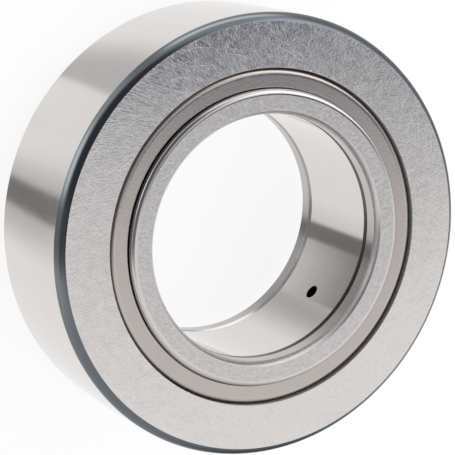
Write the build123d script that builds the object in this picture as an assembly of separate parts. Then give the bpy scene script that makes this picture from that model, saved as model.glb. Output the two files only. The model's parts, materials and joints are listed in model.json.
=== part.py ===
from build123d import *
import os
from math import asin, pi, sin, sqrt

# Yoke type cam follower bearing: a thick outer ring that rolls on a cam or a
# track, on two full rows of cylindrical rollers, with a flange ring at each
# side of the inner ring. Millimetres. The axis of rotation is +Z, the origin
# lies on it at mid width, and the oil hole points along +Y.

# Outer ring
tread_radius = 45.0  # at the top of the crown
crown_radius = 500.0  # the tread is slightly barrel shaped
outer_ring_width = 30.0
outer_corner_radial = 1.6  # the unground corner between face and tread
outer_corner_axial = 2.0
outer_corner_bow = 0.28  # how far the corner stands out of a straight bevel

# Inner ring and the bore that runs through the flange rings too
bore_radius = 25.0
inner_ring_wall = 3.0
inner_bore_chamfer_axial = 0.4
inner_bore_chamfer_radial = 0.5
raceway_end_chamfer = 0.4
oil_hole_diameter = 3.0

# Rollers, each row as full as its circle allows
roller_diameter = 8.0
roller_least_gap = 0.02  # between two neighbours in a row
raceway_clearance = 0.05  # radial, at each raceway
row_end_play = 0.1  # of one row between lip and neighbour row

# Lips of the outer ring, which guide the rollers, and the seats beside them
lip_height = 3.0
lip_width = 1.8
seat_height = 1.03  # from the lip's bore to the seat's wall
seat_depth = 2.1  # from the outer ring's face to the seat's floor

# Angle rings of pressed sheet, one in each seat
sheet_thickness = 0.6
sheet_bend_radius = 1.5  # outside of the bend
sheet_setback = 0.46  # below the outer ring's face

# Flange rings, with a rim outside and a wider collar behind the angle ring
flange_proud = 1.0  # of the outer ring's face
flange_height = 5.0  # from the bore to the rim
rim_corner_radius = 1.1
rim_gap = 0.23  # radial, between rim and angle ring
collar_axial_gap = 0.4  # between collar and angle ring
collar_lip_gap = 0.5  # radial, between collar and lip
flange_side_clearance = 0.07  # between a flange ring and the lips' inner plane
bore_corner_radial = 0.8  # lead-in at the mouth of the bore
bore_corner_axial = 1.3
bore_corner_bow = 0.07
flange_joint_chamfer_axial = 0.93  # where a flange ring meets the inner ring
flange_joint_chamfer_radial = 0.5

# Radii that follow, from the bore outwards
inner_raceway_radius = bore_radius + inner_ring_wall
roller_radius = roller_diameter / 2
pitch_radius = inner_raceway_radius + raceway_clearance + roller_radius
outer_raceway_radius = pitch_radius + roller_radius + raceway_clearance
lip_bore_radius = outer_raceway_radius - lip_height
seat_radius = lip_bore_radius + seat_height
rim_radius = bore_radius + flange_height
collar_radius = lip_bore_radius - collar_lip_gap

# Heights that follow, from the outer ring's face towards the middle
ring_face = outer_ring_width / 2
seat_floor = ring_face - seat_depth
row_space = seat_floor - lip_width
roller_length = row_space - row_end_play
flange_seat = row_space + flange_side_clearance
flange_face = ring_face + flange_proud
sheet_face = ring_face - sheet_setback
collar_face = sheet_face - sheet_thickness - collar_axial_gap


def turned(outline):
    """Spins a closed half section, drawn in radius and height, about the axis."""
    return revolve(Plane.XZ * make_face(outline.edges()), Axis.Z)


def outer_ring():
    """Crowned tread, bowed corners, side faces, seats, lips and one wide raceway."""
    tread_edge = ring_face - outer_corner_axial
    tread_edge_radius = tread_radius - crown_radius + sqrt(crown_radius**2 - tread_edge**2)
    face_edge_radius = tread_edge_radius - outer_corner_radial
    corner = SagittaArc(
        (face_edge_radius, ring_face), (tread_edge_radius, tread_edge), outer_corner_bow
    )
    inside = Polyline(
        (face_edge_radius, ring_face),
        (seat_radius, ring_face),
        (seat_radius, seat_floor),
        (lip_bore_radius, seat_floor),
        (lip_bore_radius, row_space),
        (outer_raceway_radius, row_space),
        (outer_raceway_radius, 0),
    )
    front_half = corner + inside
    crown = ThreePointArc(
        (tread_edge_radius, -tread_edge), (tread_radius, 0), (tread_edge_radius, tread_edge)
    )
    return turned(front_half + mirror(front_half, Plane.XZ) + crown)


def inner_ring():
    """Plain raceway ring with chamfered ends and the radial oil hole."""
    front_half = Polyline(
        (bore_radius, 0),
        (bore_radius, flange_seat - inner_bore_chamfer_axial),
        (bore_radius + inner_bore_chamfer_radial, flange_seat),
        (inner_raceway_radius - raceway_end_chamfer, flange_seat),
        (inner_raceway_radius, flange_seat - raceway_end_chamfer),
        (inner_raceway_radius, 0),
    )
    ring = turned(front_half + mirror(front_half, Plane.XZ))
    drill = Plane.XZ * Cylinder(
        oil_hole_diameter / 2, 2 * inner_raceway_radius, align=(Align.CENTER, Align.CENTER, Align.MAX)
    )
    return ring - drill


def flange_ring():
    """Front flange ring: lead-in, ground face, rounded rim and hidden collar."""
    mouth = SagittaArc(
        (bore_radius, flange_face - bore_corner_axial),
        (bore_radius + bore_corner_radial, flange_face),
        bore_corner_bow,
    )
    rim_corner = RadiusArc(
        (rim_radius - rim_corner_radius, flange_face),
        (rim_radius, flange_face - rim_corner_radius),
        rim_corner_radius,
    )
    face = Line(mouth @ 1, rim_corner @ 0)
    back = Polyline(
        rim_corner @ 1,
        (rim_radius, collar_face),
        (collar_radius, collar_face),
        (collar_radius, flange_seat),
        (bore_radius + flange_joint_chamfer_radial, flange_seat),
        (bore_radius, flange_seat + flange_joint_chamfer_axial),
        mouth @ 0,
    )
    return turned(mouth + face + rim_corner + back)


def angle_ring():
    """Front angle ring: a sleeve pressed into the seat and a flat leg to the rim."""
    bend = RadiusArc(
        (seat_radius - sheet_bend_radius, sheet_face),
        (seat_radius, sheet_face - sheet_bend_radius),
        sheet_bend_radius,
    )
    sleeve = Polyline(
        bend @ 1,
        (seat_radius, seat_floor),
        (seat_radius - sheet_thickness, seat_floor),
        (seat_radius - sheet_thickness, sheet_face - sheet_bend_radius),
    )
    inner_bend = RadiusArc(
        sleeve @ 1,
        (seat_radius - sheet_bend_radius, sheet_face - sheet_thickness),
        sheet_thickness - sheet_bend_radius,
    )
    leg = Polyline(
        inner_bend @ 1,
        (rim_radius + rim_gap, sheet_face - sheet_thickness),
        (rim_radius + rim_gap, sheet_face),
        bend @ 0,
    )
    return turned(bend + sleeve + inner_bend + leg)


def roller_row(start_angle):
    """One full row of rollers, standing on the middle plane's front side."""
    count = int(pi / asin((roller_radius + roller_least_gap / 2) / pitch_radius))
    roller = Cylinder(roller_radius, roller_length)
    height = row_end_play / 2 + roller_length / 2
    places = PolarLocations(pitch_radius, count, start_angle=start_angle)
    return [Pos(Z=height) * place * roller for place in places], 360 / count


pieces = {"outer_ring": outer_ring(), "inner_ring": inner_ring()}

pieces["flange_ring_front"] = flange_ring()
pieces["flange_ring_rear"] = mirror(pieces["flange_ring_front"], Plane.XY)
pieces["angle_ring_front"] = angle_ring()
pieces["angle_ring_rear"] = mirror(pieces["angle_ring_front"], Plane.XY)

front_row, roller_pitch_angle = roller_row(0)
rear_row, _ = roller_row(roller_pitch_angle / 2)  # staggered against the front row
for number, (front_roller, rear_roller) in enumerate(zip(front_row, rear_row), 1):
    pieces[f"roller_front_{number:02d}"] = front_roller
    pieces[f"roller_rear_{number:02d}"] = mirror(rear_roller, Plane.XY)

os.makedirs("parts", exist_ok=True)
for name, piece in pieces.items():
    export_step(piece, f"parts/{name}.step")

print(len(front_row), "rollers a row, pitch radius", round(pitch_radius, 3))
print("bore wall", round(2 * (flange_face - bore_corner_axial), 3), "long")
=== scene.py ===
# %% [markdown]
# A yoke type cam follower, dressed for a close photograph.
#
# The real thing is a thick steel ring that rolls on a cam or a track. Inside it run two full rows of
# rollers, and a flange ring at each side keeps them in. All that shows from outside is metal, but no
# two surfaces share a finish. The tread is ground and crowned, the ring's faces are ground with a
# cup wheel, its corners keep the dark skin of the hardening shop, the pressed sheet rings are satin
# and warm, the flange rings are lapped, and the bore is honed.
#
# So the work here is mostly finish and light. Each ring is turned from its own section, the rollers
# are set out by a node tree, and every finish is a node material that reads the radius, the height
# and the direction from the axis of the point that it colours.
#
# The frame comes first: it holds the bodies that the pieces ride on, and their true sizes.

# %% Load the frame
import json
import math
from collections import namedtuple

import bpy
from mathutils import Matrix, Vector


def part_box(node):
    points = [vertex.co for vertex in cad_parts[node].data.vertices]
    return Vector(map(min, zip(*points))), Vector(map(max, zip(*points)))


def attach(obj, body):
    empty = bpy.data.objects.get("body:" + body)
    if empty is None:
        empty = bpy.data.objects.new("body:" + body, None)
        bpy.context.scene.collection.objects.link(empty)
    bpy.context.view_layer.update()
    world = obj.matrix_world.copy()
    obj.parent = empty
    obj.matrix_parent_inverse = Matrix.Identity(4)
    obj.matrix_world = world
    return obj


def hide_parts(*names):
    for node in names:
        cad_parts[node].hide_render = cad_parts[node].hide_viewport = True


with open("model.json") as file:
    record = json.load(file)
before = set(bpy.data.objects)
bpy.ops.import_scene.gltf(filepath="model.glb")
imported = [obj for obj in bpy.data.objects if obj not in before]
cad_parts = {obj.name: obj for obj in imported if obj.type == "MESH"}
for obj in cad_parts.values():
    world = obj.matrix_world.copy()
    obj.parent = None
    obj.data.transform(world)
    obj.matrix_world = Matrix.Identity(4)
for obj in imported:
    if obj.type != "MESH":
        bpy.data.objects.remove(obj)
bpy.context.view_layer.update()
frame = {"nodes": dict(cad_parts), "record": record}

MM = 0.001

# %% [markdown]
# Sizes that several pieces share are asked of the frame, so that nothing here can drift from the
# solids it stands for. The small things, such as how far a corner is bowed, are repeated in
# millimetres.

# %% Sizes from the frame
_, outer_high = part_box("outer_ring")
_, inner_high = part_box("inner_ring")
flange_low, flange_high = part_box("flange_ring_front")
sheet_low, sheet_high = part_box("angle_ring_front")
roller_low, roller_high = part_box("roller_front_01")
bore = next(mount for mount in frame["record"]["mounts"] if mount["kind"] == "bore")

bore_radius = bore["dims"]["r_mm"] * MM
tread_radius, ring_face = outer_high.x, outer_high.z
collar_radius, flange_seat, flange_face = flange_high.x, flange_low.z, flange_high.z
seat_radius, seat_floor, sheet_face = sheet_high.x, sheet_low.z, sheet_high.z
inner_raceway_radius = inner_high.x
roller_radius = (roller_high.x - roller_low.x) / 2
roller_length = roller_high.z - roller_low.z
roller_height = (roller_high.z + roller_low.z) / 2
pitch_radius = (roller_high.x + roller_low.x) / 2
rollers_a_row = sum(name.startswith("roller_front") for name in frame["nodes"])
print("bore", round(bore_radius / MM, 2), "tread", round(tread_radius / MM, 2), "mm in radius")
print(rollers_a_row, "rollers a row, each", round(roller_length / MM, 2), "mm long")

# %% Sizes of the small forms
crown_radius = 500 * MM
corner_radial, corner_axial, corner_bow = 1.6 * MM, 2.0 * MM, 0.28 * MM
raceway_clearance = 0.05 * MM
lip_height, lip_width = 3.0 * MM, 1.8 * MM
sheet_thickness, sheet_bend = 0.6 * MM, 1.5 * MM
flange_height, rim_corner = 5.0 * MM, 1.1 * MM
rim_gap, collar_gap = 0.23 * MM, 0.4 * MM
mouth_radial, mouth_axial, mouth_bow = 0.8 * MM, 1.3 * MM, 0.07 * MM
joint_radial, joint_axial = 0.5 * MM, 0.93 * MM
inner_end_axial, raceway_end = 0.4 * MM, 0.4 * MM
oil_hole_radius = 1.5 * MM
roller_end_radius = 0.35 * MM

outer_raceway_radius = pitch_radius + roller_radius + raceway_clearance
lip_bore_radius = outer_raceway_radius - lip_height
row_space = seat_floor - lip_width
rim_radius = bore_radius + flange_height
sheet_bore_radius = rim_radius + rim_gap
collar_face = sheet_face - sheet_thickness - collar_gap
tread_edge = ring_face - corner_axial
tread_edge_radius = tread_radius - crown_radius + math.sqrt(crown_radius**2 - tread_edge**2)
face_edge_radius = tread_edge_radius - corner_radial
print("the corner runs from", round(face_edge_radius / MM, 2), "to", round(tread_edge_radius / MM, 2), "mm")

# %% [markdown]
# Node trees are built in the script, for the shapes, the finishes and the light alike. Five short
# helpers keep that readable: one adds a node with its sockets filled, one does a sum, one steps
# softly from 0 to 1, one mixes two colours, and one makes a group with named sockets. A socket is
# given either a plain value or the output of another node.

# %% Helpers for node trees
def add(tree, kind, sockets=None, **settings):
    """Adds a node, sets it up and fills its sockets."""
    node = tree.nodes.new(kind)
    for name, value in settings.items():
        setattr(node, name, value)
    for name, value in (sockets or {}).items():
        if isinstance(value, bpy.types.NodeSocket):
            tree.links.new(value, node.inputs[name])
        else:
            node.inputs[name].default_value = value
    return node


def maths(tree, operation, *values):
    """The result of one sum."""
    return add(tree, "ShaderNodeMath", dict(enumerate(values)), operation=operation).outputs[0]


def stepped(tree, value, start, end):
    """0 before start and 1 after end, softly."""
    sockets = {"Value": value, "From Min": start, "From Max": end}
    return add(tree, "ShaderNodeMapRange", sockets, interpolation_type="SMOOTHSTEP").outputs["Result"]


def mixed(tree, share, first, second):
    """A colour between two colours. Each is an output or a plain red, green and blue."""
    first, second = ((*value, 1.0) if isinstance(value, tuple) else value for value in (first, second))
    # A mix node also has sockets for numbers and vectors, so those for colours go by their index.
    return add(tree, "ShaderNodeMix", {0: share, 6: first, 7: second}, data_type="RGBA").outputs[2]


def new_group(name, kind, inputs, outputs):
    """A node group with named sockets: its tree, what comes in and where the results go."""
    tree = bpy.data.node_groups.new(name, kind)
    for in_out, sockets in (("INPUT", inputs), ("OUTPUT", outputs)):
        for label, socket_type in sockets.items():
            tree.interface.new_socket(label, in_out=in_out, socket_type="NodeSocket" + socket_type)
    arriving, leaving = tree.nodes.new("NodeGroupInput"), tree.nodes.new("NodeGroupOutput")
    return tree, arriving.outputs, leaving.inputs

# %% [markdown]
# A ring is turned on a lathe, so it is turned here too. Its section is a closed outline in radius
# and height, and each stop of the outline names its own edge radius and the finish of the stretch
# that starts there. Walking the outline with the outside always on the right keeps the faces the
# right way out.
#
# Edges that a maker breaks with a stone get a tiny radius, because a dead sharp edge catches no light
# in a render, and a real one always does. Beside each rounding sits a holding point, which keeps the
# smooth shading of the edge from running out over the flat.
#
# It could be done with the Screw modifier or with bmesh's spin. A node tree is used instead, because
# the same tree then turns all six rings, and its inputs say what a lathe hand would say: how fine.

# %% The outline of a ring
Stop = namedtuple("Stop", "radius height edge finish")
broken_edge = 0.05 * MM
well_broken_edge = 2 * broken_edge
sheared_edge = 1.6 * broken_edge
hold = 0.02 * MM
fine_edge, fine_edge_steps, full_edge_steps = 0.2 * MM, 3, 9
bow_steps, crown_steps = 7, 12


def bowed(start, end, bow, steps, finish):
    """Stops between two points, on a line that bows to the right."""
    along = Vector(end) - Vector(start)
    right = Vector((along.y, -along.x)).normalized()
    stops = []
    for step in range(1, steps):
        share = step / steps
        point = Vector(start) + along * share + right * 4 * bow * share * (1 - share)
        stops.append(Stop(point.x, point.y, 0, finish))
    return stops


def other_side(stops, closing):
    """The outline mirrored in the middle plane. The closing finish is that of its last stretch."""
    finishes = [closing] + [stop.finish for stop in stops[:-1]]
    mirrored = [Stop(stop.radius, -stop.height, stop.edge, finish) for stop, finish in zip(stops, finishes)]
    return mirrored[::-1]


def rounded(stops):
    """Points of the outline with its edges rounded, and a holding point on the flats beside each."""
    points = []
    for before, stop, after in zip(stops[-1:] + stops[:-1], stops, stops[1:] + stops[:1]):
        here = Vector((stop.radius, stop.height))
        if stop.edge == 0:
            points.append((here, stop.finish))
            continue
        arriving = (here - Vector((before.radius, before.height))).normalized()
        leaving = (Vector((after.radius, after.height)) - here).normalized()
        reach = stop.edge * math.tan(arriving.angle(leaving) / 2)
        start, end = here - arriving * reach, here + leaving * reach
        steps = fine_edge_steps if stop.edge < fine_edge else full_edge_steps
        points.append((start - arriving * hold, before.finish))
        for step in range(steps + 1):
            share = step / steps
            points.append((start.lerp(here, share).lerp(here.lerp(end, share), share), stop.finish))
        points.append((end + leaving * hold, stop.finish))
    return points


print("a broken edge is", round(broken_edge / MM, 3), "mm in radius")

# %% The tree that turns a section
turning, arriving, leaving = new_group(
    "turned_ring",
    "GeometryNodeTree",
    {"Section": "Geometry", "Segments": "Int", "Path Radius": "Float", "Finish": "Material"},
    {"Ring": "Geometry"},
)
half_segment = maths(turning, "DIVIDE", math.pi, arriving["Segments"])
inwards = maths(turning, "MULTIPLY", arriving["Path Radius"], -1.0)
section_curve = add(turning, "GeometryNodeMeshToCurve", {"Mesh": arriving["Section"]})
to_path = add(turning, "ShaderNodeCombineXYZ", {"X": inwards})
laid_section = add(
    turning,
    "GeometryNodeTransform",
    {
        "Geometry": section_curve.outputs["Curve"],
        "Translation": to_path.outputs["Vector"],
        "Rotation": (math.pi / 2, 0, 0),
    },
)
path = add(
    turning,
    "GeometryNodeCurvePrimitiveCircle",
    {"Resolution": arriving["Segments"], "Radius": arriving["Path Radius"]},
)
swept = add(
    turning,
    "GeometryNodeCurveToMesh",
    {"Curve": path.outputs["Curve"], "Profile Curve": laid_section.outputs["Geometry"]},
)
outwards = add(turning, "GeometryNodeFlipFaces", {"Mesh": swept.outputs["Mesh"]})
# Half a segment of turn puts no corner of the ring on an axis, where it could pass the solid's own box.
half_turn = add(turning, "ShaderNodeCombineXYZ", {"Z": half_segment})
clocked = add(
    turning,
    "GeometryNodeTransform",
    {"Geometry": outwards.outputs["Mesh"], "Rotation": half_turn.outputs["Vector"]},
)
smooth = add(turning, "GeometryNodeSetShadeSmooth", {"Geometry": clocked.outputs["Geometry"]})
real = add(turning, "GeometryNodeRealizeInstances", {"Geometry": smooth.outputs["Geometry"]})
finished = add(
    turning,
    "GeometryNodeSetMaterial",
    {"Geometry": real.outputs["Geometry"], "Material": arriving["Finish"]},
)
turning.links.new(finished.outputs["Geometry"], leaving["Ring"])
print("tree", turning.name, "has", len(turning.nodes), "nodes")

# %% [markdown]
# A node tree runs as a modifier, on a host object whose mesh is the drawn section. Only the result is
# kept, as a plain mesh, so the finished piece has no live modifier on it when it joins its body.

# %% Running a tree and keeping its mesh
def run_tree(name, host_mesh, tree, values):
    """Runs a node tree on a mesh and gives the result as a plain mesh."""
    host = bpy.data.objects.new(name + "_host", host_mesh)
    bpy.context.scene.collection.objects.link(host)
    modifier = host.modifiers.new(tree.name, "NODES")
    modifier.node_group = tree
    for item in tree.interface.items_tree:
        if item.in_out == "INPUT" and item.name in values:
            modifier[item.identifier] = values[item.name]
    made = bpy.data.meshes.new_from_object(host.evaluated_get(bpy.context.evaluated_depsgraph_get()))
    host.modifiers.remove(modifier)
    bpy.data.objects.remove(host)
    made.name = name
    return made

# %% [markdown]
# Finishes. Every pattern on a turned part follows the part: grinding lines run around it or out from
# its axis, never straight across. So the first node group turns an object's own coordinates into
# what a lathe hand would use, the direction from the axis, the radius and the height. It rests on
# Object coordinates only, so nothing slides when the ring spins or the camera moves.
#
# The direction is kept as a vector and not as an angle, because an angle jumps from one end of its
# range to the other somewhere on the ring, and noise read from it would show a seam there.

# %% Group: the place of a point on a turned part
place_group, arriving, leaving = new_group(
    "place_on_ring", "ShaderNodeTree", {}, {"Direction": "Vector", "Radius": "Float", "Height": "Float"}
)
position = add(place_group, "ShaderNodeTexCoord").outputs["Object"]
flat = add(
    place_group, "ShaderNodeVectorMath", {0: position, 1: (1, 1, 0)}, operation="MULTIPLY"
).outputs["Vector"]
direction = add(place_group, "ShaderNodeVectorMath", {0: flat}, operation="NORMALIZE").outputs["Vector"]
radius = add(place_group, "ShaderNodeVectorMath", {0: flat}, operation="LENGTH").outputs["Value"]
height = add(place_group, "ShaderNodeSeparateXYZ", {"Vector": position}).outputs["Z"]
for result, name in ((direction, "Direction"), (radius, "Radius"), (height, "Height")):
    place_group.links.new(result, leaving[name])
print("group", place_group.name, "has", len(place_group.nodes), "nodes")

# %% [markdown]
# Grinding lines. A wheel leaves lines that are long one way and fine the other. Noise stretched to
# suit gives both kinds needed here: lines out from the axis, swept into arcs as a cup wheel leaves
# them on a face, and lines around the axis as a plunge wheel leaves them on a tread or in a bore.

# %% Group: grinding lines
lines_group, arriving, leaving = new_group(
    "grinding_lines",
    "ShaderNodeTree",
    {"Direction": "Vector", "Along": "Float", "Around": "Float", "Across": "Float", "Sweep": "Float"},
    {"Depth": "Float"},
)
swept_angle = maths(lines_group, "MULTIPLY", arriving["Along"], arriving["Sweep"])
swept_direction = add(
    lines_group,
    "ShaderNodeVectorRotate",
    {"Vector": arriving["Direction"], "Angle": swept_angle},
    rotation_type="Z_AXIS",
)
around = add(
    lines_group,
    "ShaderNodeVectorMath",
    {0: swept_direction.outputs["Vector"], "Scale": arriving["Around"]},
    operation="SCALE",
)
across = add(
    lines_group,
    "ShaderNodeCombineXYZ",
    {"Z": maths(lines_group, "MULTIPLY", arriving["Along"], arriving["Across"])},
)
line_place = add(
    lines_group,
    "ShaderNodeVectorMath",
    {0: around.outputs["Vector"], 1: across.outputs["Vector"]},
    operation="ADD",
)
line_noise = add(
    lines_group,
    "ShaderNodeTexNoise",
    {"Vector": line_place.outputs["Vector"], "Scale": 1.0, "Detail": 2.0, "Roughness": 0.6},
)
lines_group.links.new(line_noise.outputs["Fac"], leaving["Depth"])
print("group", lines_group.name, "has", len(lines_group.nodes), "nodes")

# %% [markdown]
# One more group strews short nicks, as parts get when they lie in a bin: long thin cells of noise, of
# which only the few highest are kept.

# %% Group: short nicks
nick_stretch, nick_softness = 9.0, 0.04
nick_group, arriving, leaving = new_group(
    "short_nicks",
    "ShaderNodeTree",
    {"Turn": "Float", "Size": "Float", "Rarity": "Float"},
    {"Mask": "Float"},
)
position = add(nick_group, "ShaderNodeTexCoord").outputs["Object"]
turned_place = add(
    nick_group,
    "ShaderNodeVectorRotate",
    {"Vector": position, "Angle": arriving["Turn"]},
    rotation_type="Z_AXIS",
)
stretched = add(
    nick_group,
    "ShaderNodeVectorMath",
    {0: turned_place.outputs["Vector"], 1: (1.0, nick_stretch, 1.0)},
    operation="MULTIPLY",
)
nick_noise = add(
    nick_group,
    "ShaderNodeTexNoise",
    {"Vector": stretched.outputs["Vector"], "Scale": arriving["Size"], "Detail": 1.0},
)
nick_edge = maths(nick_group, "ADD", arriving["Rarity"], nick_softness)
kept = stepped(nick_group, nick_noise.outputs["Fac"], arriving["Rarity"], nick_edge)
nick_group.links.new(kept, leaving["Mask"])
print("group", nick_group.name, "has", len(nick_group.nodes), "nodes")

# %% [markdown]
# A material starts from the same three things: a metal shader, the place group, and a short way to
# ask for lines, for grain or for a mix of two colours. What stays the same all over a surface is set
# on the shader itself, and only what varies is fed to it by nodes.

# %% Helpers for finishes
class Finish:
    """One metal finish: a material with its shader and its place on the part."""

    def __init__(self, name):
        self.material = bpy.data.materials.new(name)
        self.material.use_nodes = True
        self.tree = self.material.node_tree
        self.shader = next(node for node in self.tree.nodes if node.type == "BSDF_PRINCIPLED")
        self.shader.inputs["Metallic"].default_value = 1.0
        self.place = self.group(place_group).outputs

    def group(self, tree, **sockets):
        """A shared node group in this material, with its sockets filled."""
        return add(self.tree, "ShaderNodeGroup", sockets, node_tree=tree)

    def sum(self, operation, *values):
        return maths(self.tree, operation, *values)

    def weighted(self, *shares):
        """The sum of some heights, each times its weight."""
        total, weight = shares[0]
        total = self.sum("MULTIPLY", total, weight)
        for height, weight in shares[1:]:
            total = self.sum("ADD", total, self.sum("MULTIPLY", height, weight))
        return total

    def lines(self, along, around, across, sweep=0.0):
        """Grinding lines that follow Radius on a face, or Height on a tread or a bore."""
        node = self.group(
            lines_group,
            Direction=self.place["Direction"],
            Along=self.place[along],
            Around=around,
            Across=across,
            Sweep=sweep,
        )
        return node.outputs["Depth"]

    def scratches(self, above, **lines):
        """1 where such lines rise above a level, and 0 elsewhere. A higher level leaves fewer."""
        return self.sum("GREATER_THAN", self.lines("Radius", **lines), above)

    def grain(self, size, detail=2.0):
        """Even noise on the object's own coordinates. Size is that of one grain."""
        coordinates = add(self.tree, "ShaderNodeTexCoord").outputs["Object"]
        sockets = {"Vector": coordinates, "Scale": 1 / size, "Detail": detail}
        return add(self.tree, "ShaderNodeTexNoise", sockets).outputs["Fac"]

    def past(self, along, start, end):
        """0 before start and 1 after end, softly, along Radius or Height."""
        return stepped(self.tree, self.place[along], start, end)

    def mix(self, share, first, second):
        return mixed(self.tree, share, first, second)

    def ramp(self, value, low, high):
        """A value of 0 to 1 spread between two others."""
        node = add(self.tree, "ShaderNodeMapRange", {"Value": value, "To Min": low, "To Max": high})
        return node.outputs["Result"]

    def set(self, socket, value):
        """Feeds what varies over the surface to one of the shader's sockets."""
        self.tree.links.new(value, self.shader.inputs[socket])

    def dent(self, depth, height):
        """Feeds a height of 0 to 1 to the shader's normal, as deep as depth."""
        bump = add(self.tree, "ShaderNodeBump", {"Height": height, "Distance": depth, "Strength": 1.0})
        self.set("Normal", bump.outputs["Normal"])


finishes = {}

# %% [markdown]
# The side face of the outer ring is the largest surface in the picture. A cup wheel grinds it, a ring
# of grit that passes over the turning part, and each side of the cup leaves its own family of swept
# arcs. They are shallow, so they are bump, in soft patches where the wheel bit more or less.
#
# Over them lie the scratches that single grains tear: short ones that run out from the axis, and a
# few long ones drawn slantwise. Torn metal scatters light, so they are rougher and a little paler
# than the steel between them. Each kind is noise stretched into strokes, of which only the tops stay.

# %% Finish: face ground with a cup wheel
def cup_ground_face():
    finish = Finish("cup_ground_face")
    coarse = finish.lines("Radius", around=190, across=440, sweep=26)
    crossing = finish.lines("Radius", around=170, across=520, sweep=-14)
    fine = finish.lines("Radius", around=380, across=1000, sweep=10)
    nicks = finish.group(nick_group, Turn=0.4, Size=300.0, Rarity=0.76).outputs["Mask"]
    relief = finish.weighted((finish.sum("ADD", coarse, crossing), 0.35), (fine, 0.3), (nicks, 0.3))
    patches = finish.ramp(finish.grain(2.2 * MM), 0.4, 1.6)
    finish.dent(0.035 * MM, finish.sum("MULTIPLY", relief, patches))

    strokes = finish.scratches(0.6, around=520, across=820, sweep=-4)
    drawn = finish.scratches(0.66, around=120, across=300, sweep=-60)
    torn = finish.sum("MAXIMUM", strokes, drawn)
    finish.set("Roughness", finish.ramp(torn, 0.1, 0.52))
    steel = finish.mix(finish.grain(9 * MM), (0.69, 0.655, 0.635), (0.73, 0.70, 0.685))
    finish.set("Base Color", finish.mix(torn, steel, (0.81, 0.78, 0.765)))
    return finish.material


finishes["face"] = cup_ground_face()
print("finish:", finishes["face"].name)

# %% [markdown]
# The tread is ground last and nearly mirrors. The wheel covers its whole width, so its lines run
# around the part and are very fine. Faint soft streaks across it change the gloss and the colour a
# little, as the wheel leaves them when it trembles.

# %% Finish: ground and crowned tread
def ground_tread():
    finish = Finish("ground_tread")
    lines = finish.lines("Height", around=2.5, across=5200)
    streaks = finish.lines("Height", around=26, across=160)
    finish.dent(0.004 * MM, lines)
    finish.set("Roughness", finish.ramp(streaks, 0.08, 0.15))
    finish.set("Base Color", finish.mix(streaks, (0.68, 0.645, 0.625), (0.72, 0.69, 0.67)))
    return finish.material


finishes["tread"] = ground_tread()
print("finish:", finishes["tread"].name)

# %% [markdown]
# The corners between tread and face are never ground, so they keep the thin dark film that the steel
# got when it was hardened: blue and green, with a trace of purple. Its colour drifts in long soft
# patches and is plainer near the tread. A film like this also dulls what the corner mirrors at a
# glancing angle, which the shader's Specular Tint does.

# %% Finish: dark skin of the hardening shop
def hardened_corner():
    finish = Finish("hardened_corner")
    tint = finish.lines("Height", around=3.2, across=500)
    second = finish.lines("Height", around=7, across=900)
    colour = finish.mix(tint, (0.15, 0.205, 0.22), (0.205, 0.175, 0.215))
    colour = finish.mix(finish.sum("MULTIPLY", second, 0.5), colour, (0.16, 0.21, 0.215))
    plain_from = face_edge_radius + 0.42 * corner_radial
    plain_to = face_edge_radius + 0.86 * corner_radial
    near_tread = finish.past("Radius", plain_from, plain_to)
    finish.set("Base Color", finish.mix(near_tread, colour, (0.205, 0.225, 0.232)))
    finish.dent(0.008 * MM, finish.grain(0.25 * MM))
    finish.set("Roughness", finish.ramp(second, 0.11, 0.2))
    finish.shader.inputs["Specular Tint"].default_value = (0.7, 0.7, 0.7, 1.0)
    return finish.material


finishes["corner"] = hardened_corner()
print("finish:", finishes["corner"].name)

# %% [markdown]
# Two finishes are for places that are hardly seen: the pale turned wall of the seat beside a sheet
# ring, and the dark grooves where rings meet. Even grain is enough for both.

# %% Finish: seats and joints
def hollow(name, low, high, roughness):
    finish = Finish(name)
    grain = finish.grain(0.4 * MM)
    finish.set("Base Color", finish.mix(grain, low, high))
    finish.dent(0.01 * MM, grain)
    finish.shader.inputs["Roughness"].default_value = roughness
    return finish.material


finishes["seat"] = hollow("seat_wall", (0.76, 0.74, 0.72), (0.84, 0.82, 0.80), 0.7)
finishes["joint"] = hollow("joint_groove", (0.16, 0.15, 0.14), (0.22, 0.21, 0.20), 0.35)
print("finishes:", finishes["seat"].name, finishes["joint"].name)

# %% [markdown]
# The sheet rings are pressed from cold rolled strip, which is satin, fine in grain and a little
# brown. Near the bend, where the leg goes down into the seat, the colour is darkened by the radius.
# That is painted shade: it stands for the shadow in the narrow gap beside the seat wall.

# %% Finish: pressed sheet
def pressed_sheet():
    finish = Finish("pressed_sheet")
    grain = finish.grain(0.3 * MM)
    clean = finish.mix(finish.grain(6 * MM), (0.50, 0.453, 0.427), (0.545, 0.493, 0.466))
    # Painted shade: near the bend the colour falls to a dark grey, for the shadow in the gap at the seat
    # wall.
    groove_shade_from, groove_shade_to = seat_radius - 0.71 * MM, seat_radius - 0.55 * MM
    painted_groove_shade = finish.past("Radius", groove_shade_from, groove_shade_to)
    finish.set("Base Color", finish.mix(painted_groove_shade, clean, (0.15, 0.14, 0.13)))
    finish.set("Roughness", finish.ramp(grain, 0.15, 0.23))
    finish.dent(0.011 * MM, grain)
    return finish.material


finishes["sheet"] = pressed_sheet()
print("finish:", finishes["sheet"].name)

# %% [markdown]
# The faces of the flange rings are lapped, which means rubbed flat with loose grit. The grit rolls and
# dents the steel, and leaves it grey and cloudy instead of lined. So the pattern has no direction: a
# coarse mottle, a fine speck, and a few faint scores from the odd grain that slid.

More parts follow.
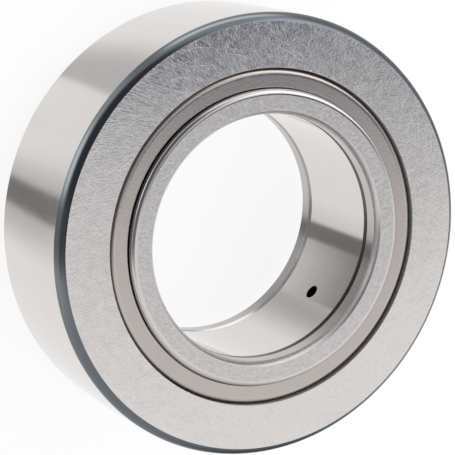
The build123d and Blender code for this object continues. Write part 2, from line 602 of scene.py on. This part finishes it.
# %% Finish: lapped face of a flange ring
def lapped_face():
    finish = Finish("lapped_face")
    mottle = finish.grain(0.6 * MM, detail=5.0)
    speck = finish.grain(0.22 * MM, detail=1.0)
    scores = finish.group(nick_group, Turn=1.1, Size=420.0, Rarity=0.68).outputs["Mask"]
    finish.set("Base Color", finish.mix(mottle, (0.49, 0.46, 0.46), (0.86, 0.825, 0.81)))
    finish.set("Roughness", finish.ramp(mottle, 0.24, 0.42))
    finish.dent(0.07 * MM, finish.weighted((mottle, 0.8), (speck, 0.12), (scores, 0.12)))
    return finish.material


finishes["lapped"] = lapped_face()
print("finish:", finishes["lapped"].name)

# %% [markdown]
# The rounded rim of a flange ring and the mouth of its bore are turned, not ground. The tool leaves
# fine rings around the axis, and they keep a highlight long and clean. The mouth is duller than the
# rim, so one function gives both.

# %% Finish: turned edges
def turned_edge(name, low, high, smooth, rough):
    finish = Finish(name)
    lines = finish.lines("Height", around=3, across=6000)
    finish.set("Base Color", finish.mix(lines, low, high))
    finish.set("Roughness", finish.ramp(lines, smooth, rough))
    finish.dent(0.003 * MM, lines)
    return finish.material


finishes["edge"] = turned_edge("turned_edge", (0.62, 0.59, 0.58), (0.69, 0.67, 0.66), 0.13, 0.21)
finishes["mouth"] = turned_edge("turned_mouth", (0.72, 0.69, 0.675), (0.79, 0.77, 0.755), 0.26, 0.34)
print("finishes:", finishes["edge"].name, finishes["mouth"].name)

# %% [markdown]
# The bore of the inner ring is honed until it mirrors. The bores of the flange rings are only ground,
# so they are darker and duller. Both have very fine lines around the axis, and a faint haze changes
# their gloss from place to place.

# %% Finish: bores
def honed_bore(name, low, high, smooth, rough):
    finish = Finish(name)
    lines = finish.lines("Height", around=3, across=4800)
    haze = finish.grain(4 * MM)
    finish.set("Base Color", finish.mix(haze, low, high))
    finish.set("Roughness", finish.ramp(haze, smooth, rough))
    finish.dent(0.002 * MM, lines)
    return finish.material


ground_tones = (0.47, 0.455, 0.445), (0.53, 0.515, 0.505)
finishes["bore"] = honed_bore("honed_bore", (0.68, 0.645, 0.625), (0.71, 0.68, 0.66), 0.06, 0.11)
finishes["flange_bore"] = honed_bore("ground_flange_bore", *ground_tones, 0.14, 0.24)
print("finishes:", finishes["bore"].name, finishes["flange_bore"].name)

# %% [markdown]
# What runs inside, the rollers, raceways, lips and collars, is ground fine and bright. Little of it
# shows while the bearing is closed, so lines in the colour and the gloss will do, without any bump.

# %% Finish: rolling surfaces
def rolling_steel():
    finish = Finish("rolling_steel")
    lines = finish.lines("Height", around=4, across=5000)
    finish.set("Base Color", finish.mix(lines, (0.62, 0.60, 0.59), (0.68, 0.66, 0.65)))
    finish.set("Roughness", finish.ramp(lines, 0.1, 0.2))
    return finish.material


finishes["inside"] = rolling_steel()
print("all finishes:", ", ".join(finishes))

# %% [markdown]
# The rings. One function turns them all: it rounds the outline, runs the tree, and gives each
# stretch of the section its finish. The tree keeps the order of the section, so the finishes simply
# repeat with every segment.

# %% Turning a ring
segments = 256


def turned_ring(name, stops, body, node, mend=None):
    """Turns an outline into a ring that rides on its body and stands for its solid."""
    points = rounded(stops)
    section = bpy.data.meshes.new(name + "_section")
    corners = [(point.x, 0, point.y) for point, _ in points]
    section.from_pydata(corners, [(i, (i + 1) % len(corners)) for i in range(len(corners))], [])
    used = sorted({finish for _, finish in points})
    mesh = run_tree(
        name,
        section,
        turning,
        {"Segments": segments, "Path Radius": bore_radius, "Finish": finishes[used[0]]},
    )
    for finish in used[1:]:
        mesh.materials.append(finishes[finish])
    for index, face in enumerate(mesh.polygons):
        face.material_index = used.index(points[index % len(points)][1])
    ring = bpy.data.objects.new(name, mesh)
    bpy.context.scene.collection.objects.link(ring)
    if mend:
        mend(ring)
    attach(ring, body)
    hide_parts(node)
    print(name, "has", len(points), "points in its section and", len(ring.data.polygons), "faces")


print("a ring is turned in", segments, "segments")

# %% [markdown]
# The outer ring. Its tread is crowned, 500 mm in radius, so that a little misalignment doesn't put
# the whole load on one edge. Tread and faces are ground last, and the corners between them stay as
# they left the furnace, blue black. On the inside are the seats for the sheet rings, the two lips
# that guide the rollers, and one wide raceway.

# %% Outer ring
upper_half = [
    Stop(tread_edge_radius, tread_edge, broken_edge, "corner"),
    *bowed((tread_edge_radius, tread_edge), (face_edge_radius, ring_face), corner_bow, bow_steps, "corner"),
    Stop(face_edge_radius, ring_face, broken_edge, "face"),
    Stop(seat_radius, ring_face, sheared_edge, "seat"),
    Stop(seat_radius, seat_floor, broken_edge, "seat"),
    Stop(lip_bore_radius, seat_floor, well_broken_edge, "seat"),
    Stop(lip_bore_radius, row_space, well_broken_edge, "inside"),
    Stop(outer_raceway_radius, row_space, broken_edge, "inside"),
]
crown = bowed(
    (tread_edge_radius, -tread_edge),
    (tread_edge_radius, tread_edge),
    tread_radius - tread_edge_radius,
    crown_steps,
    "tread",
)
outer_section = crown + upper_half + other_side(upper_half, "tread")
turned_ring("outer_ring_turned", outer_section, "outer_unit", "outer_ring")

# %% [markdown]
# The sheet rings. Each is a strip of sheet steel, pressed into an angle: a sleeve that sits in the
# outer ring's seat, and a flat leg that reaches in to the flange ring with a hair of play. They keep
# grease in and dirt out. What shows is the leg, satin and a little brown, and the rounded bend.

# %% Angle rings
sleeve_bore_radius = seat_radius - sheet_thickness
angle_section = [
    Stop(seat_radius, seat_floor, broken_edge, "sheet"),
    Stop(seat_radius, sheet_face, sheet_bend, "sheet"),
    Stop(sheet_bore_radius, sheet_face, sheared_edge, "sheet"),
    Stop(sheet_bore_radius, sheet_face - sheet_thickness, sheared_edge, "sheet"),
    Stop(sleeve_bore_radius, sheet_face - sheet_thickness, sheet_bend - sheet_thickness, "sheet"),
    Stop(sleeve_bore_radius, seat_floor, broken_edge, "sheet"),
]
rear_section = other_side(angle_section, "sheet")
turned_ring("angle_ring_front_turned", angle_section, "outer_unit", "angle_ring_front")
turned_ring("angle_ring_rear_turned", rear_section, "outer_unit", "angle_ring_rear")

# %% [markdown]
# The flange rings stand a millimetre proud of the outer ring, so that the bearing can be clamped
# between two cheeks while the outer ring turns free. Each has a rounded rim, a lapped face, a lead-in
# at the mouth of the bore, and behind the sheet ring a wider collar that runs against the rollers.

# %% Flange rings
mouth_end = flange_face - mouth_axial
lapped_to = rim_radius - 1.05 * rim_corner
flange_section = [
    Stop(collar_radius, flange_seat, well_broken_edge, "inside"),
    Stop(collar_radius, collar_face, well_broken_edge, "joint"),
    Stop(rim_radius, collar_face, broken_edge, "edge"),
    Stop(rim_radius, flange_face, rim_corner, "edge"),
    Stop(lapped_to, flange_face, 0, "lapped"),
    Stop(bore_radius + mouth_radial, flange_face, well_broken_edge, "mouth"),
    *bowed(
        (bore_radius + mouth_radial, flange_face), (bore_radius, mouth_end), mouth_bow, bow_steps, "mouth"
    ),
    Stop(bore_radius, mouth_end, broken_edge, "flange_bore"),
    Stop(bore_radius, flange_seat + joint_axial, broken_edge, "flange_bore"),
    Stop(bore_radius + joint_radial, flange_seat, broken_edge, "inside"),
]
rear_section = other_side(flange_section, "inside")
turned_ring("flange_ring_front_turned", flange_section, "inner_unit", "flange_ring_front")
turned_ring("flange_ring_rear_turned", rear_section, "inner_unit", "flange_ring_rear")

# %% [markdown]
# The inner ring is plain but for its oil hole, which lets grease from the stud reach the rollers.
# The hole could be modelled face by face, but a Boolean modifier cuts it cleanly in one go. The cut
# leaves sharp edges where drill and bore meet, and those are marked, so that the smooth shading of
# the bore stops at the hole instead of sagging into it.

# %% Inner ring
hole_crease = math.radians(35)


def drill_oil_hole(ring):
    """Cuts the radial hole along +Y and keeps its edge crisp."""
    drill_mesh = bpy.data.meshes.new("oil_drill")
    sides = 48
    reach = (0.8 * bore_radius, 1.2 * inner_raceway_radius)
    turns = [2 * math.pi * i / sides for i in range(sides)]
    circle = [(math.cos(turn) * oil_hole_radius, math.sin(turn) * oil_hole_radius) for turn in turns]
    corners = [(x, y, z) for y in reach for x, z in circle]
    walls = [(i, sides + i, sides + (i + 1) % sides, (i + 1) % sides) for i in range(sides)]
    ends = [tuple(range(sides)), tuple(range(sides, 2 * sides))[::-1]]
    drill_mesh.from_pydata(corners, [], walls + ends)
    drill_mesh.materials.append(finishes["joint"])
    drill = bpy.data.objects.new("oil_drill", drill_mesh)
    bpy.context.scene.collection.objects.link(drill)
    cut = ring.modifiers.new("oil_hole", "BOOLEAN")
    cut.operation, cut.object, cut.solver = "DIFFERENCE", drill, "EXACT"
    cut.material_mode = "TRANSFER"
    drilled = bpy.data.meshes.new_from_object(ring.evaluated_get(bpy.context.evaluated_depsgraph_get()))
    ring.modifiers.remove(cut)
    ring.data = drilled
    drilled.set_sharp_from_angle(angle=hole_crease)
    bpy.data.objects.remove(drill)


inner_half = [
    Stop(inner_raceway_radius, flange_seat - raceway_end, broken_edge, "inside"),
    Stop(inner_raceway_radius - raceway_end, flange_seat, broken_edge, "inside"),
    Stop(bore_radius + joint_radial, flange_seat, broken_edge, "joint"),
    Stop(bore_radius, flange_seat - inner_end_axial, broken_edge, "bore"),
]
turned_ring(
    "inner_ring_turned",
    inner_half + other_side(inner_half, "inside"),
    "inner_unit",
    "inner_ring",
    mend=drill_oil_hole,
)

# %% [markdown]
# The rollers stand side by side with no cage between them, as many as the circle holds, and the rear
# row is set half a place further round than the front row. Fifty like pieces are work for a node
# tree. A roller is a short line swept with a circle, and the line's radius is smaller at its two
# ends, which makes the rounded ends that keep a roller from biting into its raceway.

# %% The tree that sets out a row
row_tree, arriving, leaving = new_group(
    "roller_row",
    "GeometryNodeTree",
    {
        "Core": "Geometry",
        "Count": "Int",
        "Pitch Radius": "Float",
        "Row Height": "Float",
        "First Angle": "Float",
        "Roller Radius": "Float",
        "End Radius": "Float",
        "Sides": "Int",
        "Finish": "Material",
    },
    {"Row": "Geometry"},
)
core = add(row_tree, "GeometryNodeMeshToCurve", {"Mesh": arriving["Core"]})
full_core = add(
    row_tree,
    "GeometryNodeSetCurveRadius",
    {"Curve": core.outputs["Curve"], "Radius": arriving["Roller Radius"]},
)
core_ends = add(row_tree, "GeometryNodeCurveEndpointSelection")
waisted_core = add(
    row_tree,
    "GeometryNodeSetCurveRadius",
    {
        "Curve": full_core.outputs["Curve"],
        "Selection": core_ends.outputs["Selection"],
        "Radius": maths(row_tree, "SUBTRACT", arriving["Roller Radius"], arriving["End Radius"]),
    },
)
round_section = add(
    row_tree, "GeometryNodeCurvePrimitiveCircle", {"Resolution": arriving["Sides"], "Radius": 1.0}
)
core_radius = add(row_tree, "GeometryNodeInputRadius")
roller = add(
    row_tree,
    "GeometryNodeCurveToMesh",
    {
        "Curve": waisted_core.outputs["Curve"],
        "Profile Curve": round_section.outputs["Curve"],
        "Scale": core_radius.outputs["Radius"],
        "Fill Caps": True,
    },
)
pitch_circle = add(
    row_tree,
    "GeometryNodeMeshCircle",
    {"Vertices": arriving["Count"], "Radius": arriving["Pitch Radius"]},
)
row_place = add(row_tree, "ShaderNodeCombineXYZ", {"Z": arriving["Row Height"]})
row_turn = add(row_tree, "ShaderNodeCombineXYZ", {"Z": arriving["First Angle"]})
row_circle = add(
    row_tree,
    "GeometryNodeTransform",
    {
        "Geometry": pitch_circle.outputs["Mesh"],
        "Translation": row_place.outputs["Vector"],
        "Rotation": row_turn.outputs["Vector"],
    },
)
set_out = add(
    row_tree,
    "GeometryNodeInstanceOnPoints",
    {"Points": row_circle.outputs["Geometry"], "Instance": roller.outputs["Mesh"]},
)
row_smooth = add(row_tree, "GeometryNodeSetShadeSmooth", {"Geometry": set_out.outputs["Instances"]})
row_real = add(row_tree, "GeometryNodeRealizeInstances", {"Geometry": row_smooth.outputs["Geometry"]})
row_finished = add(
    row_tree,
    "GeometryNodeSetMaterial",
    {"Geometry": row_real.outputs["Geometry"], "Material": arriving["Finish"]},
)
row_tree.links.new(row_finished.outputs["Geometry"], leaving["Row"])
print("tree", row_tree.name, "has", len(row_tree.nodes), "nodes")

# %% [markdown]
# Each row is one mesh on a body of its own, because the rows travel round at their own pace, a little
# more than half that of the outer ring. It stands for all the solids of its row.

# %% Roller rows
roller_sides, end_crease = 40, math.radians(30)


def roller_row(side, row_height, first_angle):
    """One row of rollers as one mesh that rides on its own body."""
    name = f"roller_row_{side}"
    half = roller_length / 2
    core_mesh = bpy.data.meshes.new(name + "_core")
    heights = (-half, roller_end_radius - half, half - roller_end_radius, half)
    core_mesh.from_pydata([(0, 0, z) for z in heights], [(0, 1), (1, 2), (2, 3)], [])
    mesh = run_tree(
        name,
        core_mesh,
        row_tree,
        {
            "Count": rollers_a_row,
            "Pitch Radius": pitch_radius,
            "Row Height": row_height,
            "First Angle": first_angle,
            "Roller Radius": roller_radius,
            "End Radius": roller_end_radius,
            "Sides": roller_sides,
            "Finish": finishes["inside"],
        },
    )
    mesh.set_sharp_from_angle(angle=end_crease)
    row = bpy.data.objects.new(name, mesh)
    bpy.context.scene.collection.objects.link(row)
    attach(row, f"{side}_roller_row")
    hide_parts(*sorted(node for node in frame["nodes"] if node.startswith(f"roller_{side}")))
    print(name, "has", len(mesh.polygons), "faces")


roller_row("front", roller_height, 0.0)
roller_row("rear", -roller_height, math.pi / rollers_a_row)

# %% [markdown]
# The stage is a plain pale floor, which the rear flange ring rests on. To the camera it is white
# paper that still takes a little of the bearing's shadow. Its glow is for camera rays only, so that
# it puts no light on the steel. Steel is a mirror with a haze, so what it is given to reflect
# matters more than any lamp. The floor is hidden from reflections, and the steel sees the studio all
# round instead.

# %% Floor
floor_reach = 1.5
floor_mesh = bpy.data.meshes.new("floor")
square = ((-1, -1), (1, -1), (1, 1), (-1, 1))
floor_corners = [(x * floor_reach, y * floor_reach, -flange_face) for x, y in square]
floor_mesh.from_pydata(floor_corners, [], [(0, 1, 2, 3)])
floor = bpy.data.objects.new("floor", floor_mesh)
bpy.context.scene.collection.objects.link(floor)
floor.visible_glossy = False

paper = bpy.data.materials.new("white_paper")
paper.use_nodes = True
paper_tree = paper.node_tree
paper_tree.nodes.clear()
paper_share, paper_glow = 0.2, 0.88
light_path = add(paper_tree, "ShaderNodeLightPath")
diffuse = add(paper_tree, "ShaderNodeBsdfDiffuse", {"Color": (paper_share,) * 3 + (1.0,)})
glow = add(
    paper_tree,
    "ShaderNodeEmission",
    {"Strength": maths(paper_tree, "MULTIPLY", light_path.outputs["Is Camera Ray"], paper_glow)},
)
both = add(paper_tree, "ShaderNodeAddShader", {0: diffuse.outputs[0], 1: glow.outputs[0]})
add(paper_tree, "ShaderNodeOutputMaterial", {"Surface": both.outputs[0]})
floor_mesh.materials.append(paper)
print("floor", 2 * floor_reach, "m wide")

# %% [markdown]
# The studio is a bright tent with a few darker places in it, as every photographer of polished metal
# builds it: a metal part in an even white tent looks like plaster. The tent is written into the
# world as a level of light for each direction. Directions are given as a photographer would, as an
# angle round the part from the camera's side, and a height above or below the horizon.

# %% Studio: helpers
camera_azimuth = math.radians(15.817)
to_camera = math.atan2(-math.cos(camera_azimuth), math.sin(camera_azimuth))
world = bpy.data.worlds.new("light_tent")
bpy.context.scene.world = world
world.use_nodes = True
tent = world.node_tree
tent.nodes.clear()
ray = add(tent, "ShaderNodeTexCoord").outputs["Generated"]
ray_rise = maths(tent, "ARCSINE", add(tent, "ShaderNodeSeparateXYZ", {"Vector": ray}).outputs["Z"])


def around_part(angle):
    """The level direction at an angle round the part from the camera's side."""
    turn = to_camera + math.radians(angle)
    return Vector((math.cos(turn), math.sin(turn), 0))


def fade(value, middle, softness):
    """0 before an angle and 1 after it, softened by so many degrees to each side."""
    return stepped(tent, value, math.radians(middle - softness), math.radians(middle + softness))


def patch(angle, rise, half_width, softness):
    """A round soft place in the tent."""
    up = Vector((0, 0, math.sin(math.radians(rise))))
    centre = around_part(angle) * math.cos(math.radians(rise)) + up
    node = add(tent, "ShaderNodeVectorMath", {0: ray, 1: centre}, operation="DOT_PRODUCT")
    away = maths(tent, "ARCCOSINE", maths(tent, "MINIMUM", node.outputs["Value"], 1.0))
    return maths(tent, "SUBTRACT", 1.0, fade(away, half_width, softness))


def strip(angle, half_width, softness, low, high, end_softness=8, lean=0):
    """An upright soft strip in the tent, from one height to another. It may lean to one side."""
    turned = add(
        tent,
        "ShaderNodeVectorRotate",
        {"Vector": ray, "Angle": -to_camera - math.radians(angle)},
        rotation_type="Z_AXIS",
    )
    parts = add(tent, "ShaderNodeSeparateXYZ", {"Vector": turned.outputs["Vector"]})
    side = maths(tent, "ARCTAN2", parts.outputs["Y"], parts.outputs["X"])
    above_middle = maths(tent, "SUBTRACT", ray_rise, math.radians((low + high) / 2))
    side = maths(tent, "SUBTRACT", side, maths(tent, "MULTIPLY", above_middle, lean))
    outside = fade(maths(tent, "ABSOLUTE", side), half_width, softness)
    from_low = fade(ray_rise, low, end_softness)
    to_high = fade(ray_rise, high, end_softness)
    mask = maths(tent, "MULTIPLY", from_low, maths(tent, "SUBTRACT", 1.0, to_high))
    return maths(tent, "MULTIPLY", mask, maths(tent, "SUBTRACT", 1.0, outside))


def lay(light, *tones):
    """The light with tones laid over it in turn, each where its mask is."""
    for mask, colour in tones:
        light = mixed(tent, mask, light, colour)
    return light


print("the camera stands", round(math.degrees(camera_azimuth), 1), "degrees round from -Y to +X")

# %% [markdown]
# First comes what stands behind the part and above it. The flat faces mirror only a small high part
# of the tent, on the side away from the camera, and one deep blue panel there gives the upper half
# of the ring its darker tone. The dark corners bend round through much wider angles, so the soft
# greys low behind the part are there for them, and so is the large dark patch around the camera.
# A strip is given its angle, half width, softness, two heights, the softness of its ends and a lean.

# %% Studio: behind and above
light = lay(
    (0.97, 0.97, 0.97),
    (strip(170, 45, 15, -10, 24, 8), (0.80, 0.80, 0.80)),
    (strip(105, 46, 14, -30, 50, 12), (0.75, 0.75, 0.76)),
    (strip(138, 18, 12, -25, 12, 10), (0.48, 0.48, 0.49)),
    (strip(180, 14, 8, -48, -16, 6), (1.12, 1.12, 1.12)),
    (strip(143, 13, 8, -40, -5, 2.5, -0.35), (0.26, 0.26, 0.27)),
    (strip(200, 15, 8, 36, 90, 6, -0.7), (0.03, 0.056, 0.112)),
    (strip(-128, 34, 10, -30, 1, 5), (0.62, 0.62, 0.64)),
    (strip(-157, 16, 10, -8, 26, 8), (0.58, 0.58, 0.60)),
    (patch(-14, 49, 42, 12), (0.12, 0.12, 0.13)),
)
print("tent has", len(tent.nodes), "nodes behind and above")

# %% [markdown]
# Three lamps come next, brighter than the tent. They draw the thin highlights: on the dark corner at
# the left and the upper left, and on the rounded rim of the flange ring and the corner's inner edge
# at the top. A dark strip under the third lamp keeps its highlight from running out.

# %% Studio: lamps
light = lay(
    light,
    (patch(0, -10, 14, 9), (2.1, 2.1, 2.1)),
    (strip(-74, 24, 8, -17, 4, 5), (2.2, 2.2, 2.2)),
    (strip(-118, 24, 8, 15, 56, 6), (1.75, 1.75, 1.75)),
    (strip(-122, 18, 8, -4, 8, 5), (0.5, 0.5, 0.5)),
)
print("tent has", len(tent.nodes), "nodes with the lamps")

# %% [markdown]
# Last comes what stands low on the camera's side, which the tread and the bore mirror. A round
# surface squeezes the whole tent into a few stripes, so one dark panel becomes one dark band. The
# tread looks lower than 60 degrees under the horizon and the bore looks just above that, so a panel
# is cut there in two, and each surface can be given its band where it should be.

# %% Studio: low on the camera's side
light = lay(
    light,
    (strip(-48, 25, 15, -90, -60, 3), (0.61, 0.60, 0.61)),
    (strip(-49, 21, 23, -60, -34, 3), (0.50, 0.495, 0.50)),
    (strip(-46, 10, 7, -34, 10, 6), (0.55, 0.56, 0.57)),
    (strip(-23.4, 15.7, 2.5, -90, -34, 8, 1.2), (0.97, 0.97, 0.97)),
    (strip(-33, 6, 3, -60, -45, 3), (0.97, 0.97, 0.97)),
    (strip(37, 21, 13, -90, -60, 3, -0.58), (0.62, 0.62, 0.62)),
    (strip(25.5, 20, 10, -60, -45, 3), (0.84, 0.84, 0.84)),
    (strip(-8.5, 30.5, 3, -57.3, -34, 2.2), (0.14, 0.14, 0.14)),
    (strip(31.7, 8, 2.5, -90, -60, 2.5, -0.25), (0.23, 0.225, 0.225)),
    (strip(23.6, 8, 2.5, -60, -45, 2.5), (0.20, 0.195, 0.195)),
    (strip(27, 12, 6, -45, 16, 6), (0.46, 0.46, 0.46)),
    (strip(29, 14, 7, 10, 48, 6), (0.22, 0.22, 0.23)),
)
camera_ray = add(tent, "ShaderNodeLightPath").outputs["Is Camera Ray"]
seen = mixed(tent, camera_ray, light, (1.0, 1.0, 1.0))
tent_light = add(tent, "ShaderNodeBackground", {"Color": seen, "Strength": 1.0})
add(tent, "ShaderNodeOutputWorld", {"Surface": tent_light.outputs[0]})
print("tent has", len(tent.nodes), "nodes in all")

# %% [markdown]
# The camera stands where the photographer's stood, above the bearing and to one side, with a long
# lens. The part lies on its flange ring here, but in the photograph it stands on its tread, so the
# camera is rolled over by more than a right angle to see it the same way up.

# %% Camera
camera_elevation, camera_roll = math.radians(60.259), math.radians(111.855)
camera_aim = Vector((0.974, -0.379, -0.360)) * MM
camera_distance = 392.677 * MM
back = Vector(
    (
        math.sin(camera_azimuth) * math.cos(camera_elevation),
        -math.cos(camera_azimuth) * math.cos(camera_elevation),
        math.sin(camera_elevation),
    )
)
level_right = Vector((math.cos(camera_azimuth), math.sin(camera_azimuth), 0))
level_up = back.cross(level_right)
right = level_right * math.cos(camera_roll) + level_up * math.sin(camera_roll)
up = back.cross(right)

camera_data = bpy.data.cameras.new("camera")
camera_data.sensor_width, camera_data.lens = 36.0, 151.33
camera_data.clip_start, camera_data.clip_end = 0.01, 10.0
camera = bpy.data.objects.new("camera", camera_data)
camera_turn = Matrix((right, up, back)).transposed().to_4x4()
camera.matrix_world = Matrix.Translation(camera_aim + back * camera_distance) @ camera_turn
bpy.context.scene.collection.objects.link(camera)
bpy.context.scene.camera = camera
bpy.context.scene.view_settings.view_transform = "Standard"
print("camera", round(camera_distance / MM), "mm away with a", round(camera_data.lens), "mm lens")
